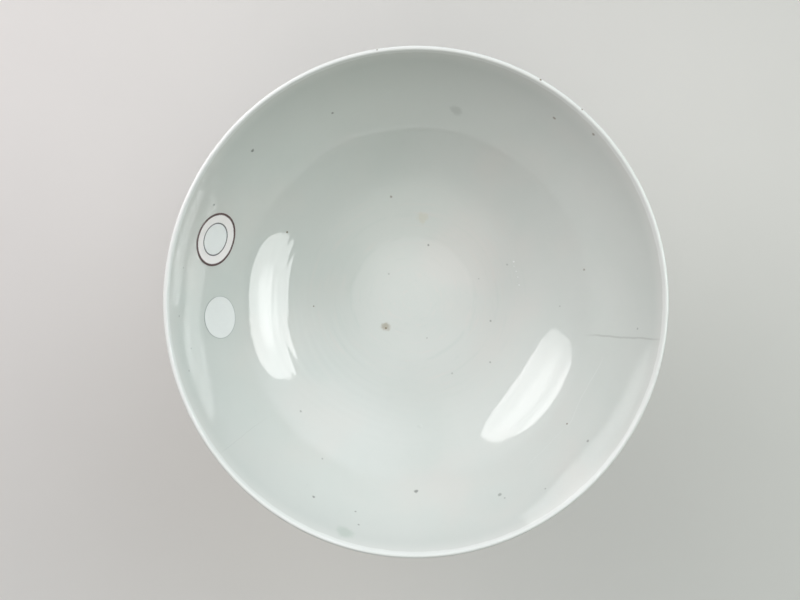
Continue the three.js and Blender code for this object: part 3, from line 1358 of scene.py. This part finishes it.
@dataclass
class HollowStem:
    """The thrown stem: hollow, splayed, and bare on the ring that it stands on.

    Attributes:
        top_wall: Thickness at the top.
        foot_wall: Thickness at the foot.
        foot_edge: Height of the foot's upright edge.
        land: Width of the ring that it stands on.
        bevel_height: Height of the bevels beside that ring.
        flare_power: How sharply it splays towards the foot.
        flare_points: Points on the line of a side.
        ripple: Unevenness of its sides.
        rippled: Heights between which the ripple comes and goes.
        finish: Its glaze.
    """

    top_wall: float = 7 * MM
    foot_wall: float = 5.2 * MM
    foot_edge: float = 4.2 * MM
    land: float = 2.8 * MM
    bevel_height: float = 1.3 * MM
    flare_power: float = 2.3
    flare_points: int = 70
    ripple: Ripple = Ripple(0.05 * MM, 16 * MM, 21)
    rippled: tuple[float, float, float, float] = (5 * MM, 12 * MM, 44 * MM, 50 * MM)
    finish: StemFinish = StemFinish("stem_porcelain_glaze")

    def flare(self, foot: float, top: float, low: float, high: float) -> np.ndarray:
        """Lays one side of the stem.

        Args:
            foot: Radius at the foot.
            top: Radius at the top.
            low: Height where the flare starts.
            high: Height of the top.

        Returns:
            Radius and height of its points, from the foot up.
        """
        share = np.linspace(0.0, 1.0, self.flare_points)
        radius = top + (foot - top) * (1 - share) ** self.flare_power
        return np.stack([radius, low + (high - low) * share], axis=-1)

    def build(self) -> bpy.types.Object:
        """Turns and glazes the stem.

        Returns:
            The stem.
        """
        low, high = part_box("stem")
        foot = high.x
        hollow_foot = foot - self.foot_wall
        bevel = (self.foot_wall - self.land) / 2
        outside = self.flare(foot, STEM_RADIUS, self.foot_edge, high.z)
        hollow = self.flare(hollow_foot, STEM_RADIUS - self.top_wall, self.bevel_height, high.z)[::-1]
        land = np.array([[hollow_foot + bevel, low.z], [foot - bevel, low.z]])
        edge = np.array([[foot, self.bevel_height]])
        line = np.concatenate([land, edge, outside, hollow])
        turning = Turning(line)
        points = turning.points()
        free = rise_and_fall(line[:, 1], self.rippled)
        sides = np.where(np.arange(len(line)) < len(line) - len(hollow), 1.0, -1.0)
        outward = np.stack([np.cos(turning.angles), np.sin(turning.angles)], axis=-1)
        height = self.ripple.at(points) * (free * sides)[:, None]
        points[..., :2] += outward[None] * height[..., None]
        piece = turning.mesh("hollow_stem", points)
        seat(piece, "stem", self.finish.make())
        return piece


@dataclass
class PaperSticker:
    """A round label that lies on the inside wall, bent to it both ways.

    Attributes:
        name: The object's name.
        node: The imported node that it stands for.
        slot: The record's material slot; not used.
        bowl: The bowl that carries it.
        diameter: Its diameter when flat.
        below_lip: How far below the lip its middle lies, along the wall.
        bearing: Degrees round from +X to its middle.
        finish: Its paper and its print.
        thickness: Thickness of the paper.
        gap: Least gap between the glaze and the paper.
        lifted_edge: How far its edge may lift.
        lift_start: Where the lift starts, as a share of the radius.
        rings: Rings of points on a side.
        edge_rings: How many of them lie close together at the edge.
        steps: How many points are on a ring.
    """

    name: str
    node: str
    slot: Slot
    bowl: ThrownBowl
    diameter: float
    below_lip: float
    bearing: float
    finish: PaperFinish
    thickness: float = 0.11 * MM
    gap: float = 0.01 * MM
    lifted_edge: float = 0.10 * MM
    lift_start: float = 0.72
    rings: int = 28
    edge_rings: int = 7
    steps: int = 144

    def build(self) -> bpy.types.Object:
        """Bends the paper to the wall and prints it.

        Returns:
            The sticker.
        """
        turns = np.arange(self.steps) * 2.0 * math.pi / self.steps
        inner = np.linspace(0.0, 0.9, self.rings - self.edge_rings + 1)[1:]
        shares = np.concatenate([inner, np.linspace(0.915, 1.0, self.edge_rings)])
        reach = shares[:, None] * self.diameter / 2
        up, round_wall = reach * np.cos(turns), reach * np.sin(turns)
        pucker = np.sin(5.0 * turns + 0.6) + 0.6 * np.sin(11.0 * turns + 2.0)
        lifted = smooth_step(shares, self.lift_start, 1.0)[:, None]
        lift = self.lifted_edge * lifted * (1.0 + 0.5 * pucker) / 2
        top = self.sheet(up, round_wall, lift + self.thickness)
        under = self.sheet(up, round_wall, np.maximum(lift, self.gap))
        middle = np.zeros((1, 1))
        centre = self.sheet(middle, middle, middle + self.thickness)[0]
        base = self.sheet(middle, middle, middle + self.gap)[0]
        count = top.shape[0] * self.steps
        points = np.concatenate([top.reshape(-1, 3), under.reshape(-1, 3), centre, base])
        flat = np.stack([up, round_wall], axis=-1).reshape(-1, 2) / self.diameter + 0.5
        spread = np.concatenate([flat, flat, [[0.5, 0.5]], [[0.5, 0.5]]])
        mesh = bpy.data.meshes.new(self.name)
        mesh.from_pydata(points.tolist(), [], self.faces(top.shape[0], count))
        self.lay_out(mesh, spread)
        piece = finished(self.name, mesh)
        seat(piece, self.node, self.finish.make())
        return piece

    def sheet(self, up: np.ndarray, round_wall: np.ndarray, above: np.ndarray) -> np.ndarray:
        """Lays flat places of the sheet on the wall.

        Args:
            up: How far up the wall from the sticker's middle.
            round_wall: How far round it.
            above: How far off it.

        Returns:
            The places in space.
        """
        lengths = self.bowl.inside.length - self.below_lip + up
        radius = self.bowl.inside.at(lengths)[0]
        bearings = math.radians(self.bearing) + round_wall / radius
        return self.bowl.inside_surface(lengths, bearings, np.broadcast_to(above, up.shape))

    def faces(self, rows: int, count: int) -> list[tuple[int, ...]]:
        """Joins the two sides and the edge.

        Args:
            rows: Rings of points on a side.
            count: Points on a side without its middle.

        Returns:
            The faces.
        """
        grid = np.arange(count).reshape(rows, self.steps)
        ahead = np.roll(grid, -1, axis=1)
        made: list[tuple[int, ...]] = []
        for side, middle in ((0, 2 * count), (count, 2 * count + 1)):
            fan = np.stack([np.full(self.steps, middle), grid[0] + side, ahead[0] + side], axis=-1)
            made.extend(map(tuple, fan.tolist()))
            for row in range(rows - 1):
                near, far = grid[row] + side, grid[row + 1] + side
                quads = np.stack([near, far, ahead[row + 1] + side, ahead[row] + side], axis=-1)
                made.extend(map(tuple, quads.tolist()))
        rim = np.stack([grid[-1], ahead[-1], ahead[-1] + count, grid[-1] + count], axis=-1)
        made.extend(map(tuple, rim.tolist()))
        return made

    def lay_out(self, mesh: bpy.types.Mesh, spread: np.ndarray) -> None:
        """Keeps each point's place on the flat sheet.

        Args:
            mesh: The mesh.
            spread: Each point's place on the sheet, from 0 to 1.
        """
        layer = mesh.uv_layers.new(name="sheet")
        corners = np.empty(len(mesh.loops), dtype=np.int64)
        mesh.loops.foreach_get("vertex_index", corners)
        layer.data.foreach_set("uv", spread[corners].astype(np.float32).ravel())


def stickers(bowl: ThrownBowl) -> tuple[PaperSticker, PaperSticker]:
    """Gives the two stickers.

    Args:
        bowl: The bowl that carries them.

    Returns:
        The ringed one and the plain one.
    """
    rings = (PaperRing(0.957, 0.105, BORDER_INK, 1.0), PaperRing(0.60, 0.062, LINE_INK, 0.95))
    ringed = PaperFinish(
        "ringed_label_paper",
        colour=(0.98, 0.94, 0.93),
        edge=BORDER_INK,
        rings=rings,
        middle=(0.91, 0.93, 0.925),
        roughness=0.4,
    )
    plain = PaperFinish(
        "plain_label_paper",
        colour=(0.86, 0.885, 0.87),
        edge=(0.22, 0.26, 0.25),
        roughness=0.30,
    )
    return (
        PaperSticker(
            "ringed_label",
            "ringed_sticker",
            Slot.RINGED_PAPER,
            bowl,
            diameter=18.9 * MM,
            below_lip=21.2 * MM,
            bearing=162.8,
            finish=ringed,
        ),
        PaperSticker(
            "plain_label",
            "plain_sticker",
            Slot.PLAIN_PAPER,
            bowl,
            diameter=14.9 * MM,
            below_lip=27.5 * MM,
            bearing=184.7,
            finish=plain,
        ),
    )


@dataclass(frozen=True)
class Glow:
    """A brighter patch of a lamp's face, with its sizes as shares of the half width and half height.

    Attributes:
        middle: Where it lies, across and up.
        reach: How far it reaches, across and up.
        gain: How much brighter its middle is.
    """

    middle: tuple[float, float]
    reach: tuple[float, float]
    gain: float


@dataclass(frozen=True)
class Softbox:
    """A large soft lamp with rounded corners.

    Attributes:
        name: Its name.
        bearing: Degrees round from +X.
        elevation: Degrees above level.
        distance: How far it stands from the bowl's middle.
        width: Its width.
        height: Its height.
        light: How bright its face is as it lights the clay.
        gleam: How bright its face is for the gloss, which shows about a 23rd of it.
        colour: The tint of what lights the clay.
        dim_end: Which end is dimmer, +1 for the one at the greater bearing and -1 for the other.
        dim_share: How much dimmer that end is.
        taper: How much lower the other end is than the middle.
        echo: How much brighter it is where the gloss shows it by way of a second wall.
        glows: The brighter patches of its face.
        squareness: 2 would make its face an ellipse, and more gives it squarer corners.
        taper_rise: How far the tapered end lies above the middle, as a share of its taper.
    """

    name: str
    bearing: float
    elevation: float
    distance: float
    width: float
    height: float
    light: float
    gleam: float
    colour: Colour = (1.0, 1.0, 1.0)
    dim_end: float = 1.0
    dim_share: float = 0.0
    taper: float = 0.0
    echo: float = 1.0
    glows: tuple[Glow, ...] = ()
    squareness: float = 2.8
    taper_rise: float = 0.35

    def build(self, centre: Vector) -> None:
        """Stands the lamp up as two, face to face: one lights the clay and one shows in the gloss.

        Args:
            centre: What it lights.
        """
        if self.light:
            lit = self.stand(self.name, self.light, centre, self.distance)
            lit.data.color = self.colour
            lit.visible_glossy = False
        shown = self.stand(f"{self.name}_gleam", self.gleam, centre, self.distance - LAMP_GAP)
        shown.visible_diffuse = False

    def stand(self, name: str, light: float, centre: Vector, distance: float) -> bpy.types.Object:
        """Stands one lamp up, turned to the bowl.

        Args:
            name: The lamp's name.
            light: How bright its face is.
            centre: What it lights.
            distance: How far off it stands.

        Returns:
            The lamp.
        """
        lamp = bpy.data.lights.new(name, "AREA")
        lamp.shape = "RECTANGLE"
        lamp.size = self.width
        lamp.size_y = self.height
        lamp.energy = light * math.pi * self.width * self.height
        self.face(lamp)
        turn, rise = math.radians(self.bearing), math.radians(self.elevation)
        away = Vector((math.cos(turn) * math.cos(rise), math.sin(turn) * math.cos(rise), math.sin(rise)))
        made = bpy.data.objects.new(name, lamp)
        made.location = centre + away * distance
        made.rotation_euler = away.to_track_quat("Z", "Y").to_euler()
        made.visible_camera = False
        bpy.context.scene.collection.objects.link(made)
        return made

    def face(self, lamp: bpy.types.AreaLight) -> None:
        """Rounds the lamp's corners and shades its face.

        Args:
            lamp: The lamp.
        """
        lamp.use_nodes = True
        sheet = NodeSheet(lamp.node_tree)
        across, up, _ = sheet.parts(sheet.node("ShaderNodeNewGeometry").outputs["Parametric"])
        across = sheet.math("MULTIPLY", sheet.math("SUBTRACT", across, 0.5), 2.0)
        up = sheet.math("MULTIPLY", sheet.math("SUBTRACT", up, 0.5), 2.0)
        towards = sheet.math("MULTIPLY", across, self.dim_end)
        lower = sheet.ease(towards, -0.2, -1.0, self.taper)
        raised = sheet.math("SUBTRACT", up, sheet.math("MULTIPLY", lower, self.taper_rise))
        tall = sheet.math("DIVIDE", raised, sheet.math("SUBTRACT", 1.0, lower))
        off = [
            sheet.math("POWER", sheet.math("ABSOLUTE", side), self.squareness) for side in (across, tall)
        ]
        inside = sheet.ease(sheet.math("ADD", *off), 1.0, 0.9)
        shade = sheet.math("SUBTRACT", 1.0, sheet.ease(towards, 0.2, 1.0, self.dim_share))
        for glow in self.glows:
            off = [
                sheet.math("POWER", sheet.math("DIVIDE", sheet.math("SUBTRACT", side, middle), reach), 2.0)
                for side, middle, reach in zip((across, up), glow.middle, glow.reach)
            ]
            shade = sheet.math("ADD", shade, sheet.ease(sheet.math("ADD", *off), 1.0, 0.0, glow.gain))
        turns = sheet.node("ShaderNodeLightPath").outputs["Glossy Depth"]
        again = sheet.math("MULTIPLY", sheet.math("GREATER_THAN", turns, 1.5), self.echo - 1.0)
        face = sheet.math("MULTIPLY", inside, sheet.math("ADD", again, 1.0))
        emission = lamp.node_tree.nodes["Emission"]
        sheet.feed(emission.inputs["Strength"], sheet.math("MULTIPLY", face, shade))


@dataclass(frozen=True)
class RoomSide:
    """A side of the room that is lighter than the rest.

    Attributes:
        towards: The direction to its middle.
        reach: Angle from the middle, in degrees, at which its light has faded out.
        light: How much light its middle adds, in red, green and blue.
    """

    towards: tuple[float, float, float]
    reach: float
    light: Colour


@dataclass
class Studio:
    """A pale floor, a dim room, two soft lamps, a low white card and the camera.

    Attributes:
        rim_height: Height of the bowl's rim.
        eye: Where the camera stands, from the middle of the rim.
        aim: What it looks at, the same way.
        lens: Its focal length, in millimetres.
        floor_radius: Radius of the floor.
        floor_corners: How many corners the floor's edge has.
        floor_gap: How far the floor lies below the foot.
        floor_colour: Its colour.
        room: The room's even light.
        sides: Its lighter sides.
        backdrop: The backdrop's colour, low down.
        backdrop_above: Share of it that is left higher up.
        backdrop_fade: How high a view looks, from 0 for level to 1 for straight up, where the
            backdrop starts to fade and where it stops.
        lamps: The lamps and the card.
        lamp_aim: Height that they face, as a share of the rim's.
    """

    rim_height: float
    eye: Vector = field(default_factory=lambda: Vector((-13.4 * MM, 22.0 * MM, 450 * MM)))
    aim: Vector = field(default_factory=lambda: Vector((-5.55 * MM, 1.43 * MM, 0.0)))
    lens: float = 61.34
    floor_radius: float = 4.0
    floor_corners: int = 96
    floor_gap: float = 0.05 * MM
    floor_colour: Colour = (0.72, 0.71, 0.685)
    room: Colour = (0.03, 0.03, 0.03)
    sides: tuple[RoomSide, ...] = (
        RoomSide((0, 0, 1), 25.0, (1.47, 1.44, 1.46)),
        RoomSide((-1, 1, 1), 45.0, (0.91, 0.99, 0.96)),
        RoomSide((1, 1, 1), 45.0, (1.36, 1.43, 1.52)),
        RoomSide((0, -1, 2.5), 30.0, (1.12, 1.11, 1.02)),
    )
    backdrop: Colour = (0.62, 0.62, 0.61)
    backdrop_above: float = 0.2
    backdrop_fade: tuple[float, float] = (0.09, 0.16)
    lamp_aim: float = 0.6
    lamps: tuple[Softbox, ...] = (
        Softbox(
            "right_softbox",
            bearing=0.0,
            elevation=33.7,
            distance=0.50,
            width=0.44,
            height=0.242,
            light=1.16,
            gleam=5.5,
            colour=(0.84, 1.0, 0.84),
            dim_end=-1.0,
            dim_share=0.15,
            echo=2.8,
            glows=(Glow((0.0, -0.1), (0.65, 0.55), 0.6),),
        ),
        Softbox(
            "left_softbox",
            bearing=143.6,
            elevation=34.3,
            distance=0.50,
            width=0.410,
            height=0.255,
            light=3.2,
            gleam=4.5,
            colour=(1.0, 0.865, 0.925),
            dim_end=1.0,
            dim_share=0.35,
            taper=0.34,
            echo=3.4,
            glows=(
                Glow((0.0, 0.9), (1.3, 0.2), 0.15),
                Glow((0.0, 0.0), (1.0, 0.42), 0.33),
                Glow((0.1, -0.8), (1.2, 0.2), 0.35),
            ),
        ),
        Softbox("low_card", -72.0, 14.5, 0.60, 1.1, 0.055, light=0.0, gleam=0.9),
    )

    def camera(self) -> None:
        """Looks down at the bowl, a few degrees off its axis."""
        rim = self.rim_height * UP
        data = bpy.data.cameras.new("camera")
        data.lens = self.lens
        data.sensor_width = 36.0
        data.clip_start = 0.01
        camera = bpy.data.objects.new("camera", data)
        forward = (self.aim - self.eye).normalized()
        right = forward.cross(Vector((0, 1, 0))).normalized()
        up = right.cross(forward)
        turn = Matrix((right, up, -forward)).transposed()
        camera.matrix_world = Matrix.Translation(rim + self.eye) @ turn.to_4x4()
        bpy.context.scene.collection.objects.link(camera)
        bpy.context.scene.camera = camera

    def floor(self) -> None:
        """Lays the pale floor."""
        turns = np.arange(self.floor_corners) * 2.0 * math.pi / self.floor_corners
        around = np.stack([np.cos(turns), np.sin(turns), np.zeros_like(turns)], axis=-1)
        mesh = bpy.data.meshes.new("floor")
        face = tuple(range(self.floor_corners))
        mesh.from_pydata((self.floor_radius * around).tolist(), [], [face])
        floor = bpy.data.objects.new("floor", mesh)
        floor.location.z = -self.floor_gap
        sheet = GlazeSheet("matt_pale_floor")
        cloud = sheet.ease(sheet.noise(60 * MM, 2.0), 0.3, 0.7, 0.3)
        darker = tuple(0.96 * part for part in self.floor_colour)
        sheet.feed(sheet.shader.inputs["Base Color"], sheet.mix(cloud, self.floor_colour, darker))
        sheet.shader.inputs["Roughness"].default_value = 0.75
        sheet.shader.inputs["Specular IOR Level"].default_value = 0.2
        mesh.materials.append(sheet.material)
        bpy.context.scene.collection.objects.link(floor)

    def air(self) -> None:
        """Fills the room with dim light, more of it from its lighter sides, behind a pale backdrop.

        The backdrop shows around the bowl and in its gloss, and lights nothing. It fades upwards.
        """
        world = bpy.data.worlds.new("room")
        bpy.context.scene.world = world
        world.use_nodes = True
        sheet = NodeSheet(world.node_tree)
        way = sheet.node("ShaderNodeTexCoord").outputs["Generated"]
        light: Socket | Colour = self.room
        for side in self.sides:
            near = sheet.along(way, Vector(side.towards).normalized())
            share = sheet.ease(near, math.cos(math.radians(side.reach)), 1.0)
            light = sheet.mix(share, light, side.light, "ADD")
        path = sheet.node("ShaderNodeLightPath").outputs
        seen = sheet.math("MAXIMUM", path["Is Camera Ray"], path["Is Glossy Ray"])
        seen = sheet.math("MAXIMUM", seen, path["Is Transmission Ray"])
        start, end = self.backdrop_fade
        low = sheet.ease(sheet.along(way, UP), end, start, 1.0 - self.backdrop_above)
        shown = sheet.math("MULTIPLY", seen, sheet.math("ADD", low, self.backdrop_above))
        shade = world.node_tree.nodes["Background"]
        sheet.feed(shade.inputs["Color"], sheet.mix(shown, light, self.backdrop, "ADD"))

    def build(self) -> None:
        """Sets up the whole studio."""
        bpy.context.scene.view_settings.view_transform = "Standard"
        bpy.context.scene.cycles.blur_glossy = 0.0
        self.camera()
        self.floor()
        self.air()
        for lamp in self.lamps:
            lamp.build(self.lamp_aim * self.rim_height * UP)


def main() -> None:
    """Builds the pieces in order."""
    logging.basicConfig(level=logging.INFO, format="%(name)s: %(message)s")
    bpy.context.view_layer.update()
    bowl = ThrownBowl()
    Studio(bowl.top).build()
    for part in (bowl, LutedSlip(bowl), HollowStem(), *stickers(bowl)):
        piece = part.build()
        LOG.info("%s: %d faces", piece.name, len(piece.data.polygons))


if __name__ == "__main__":
    main()
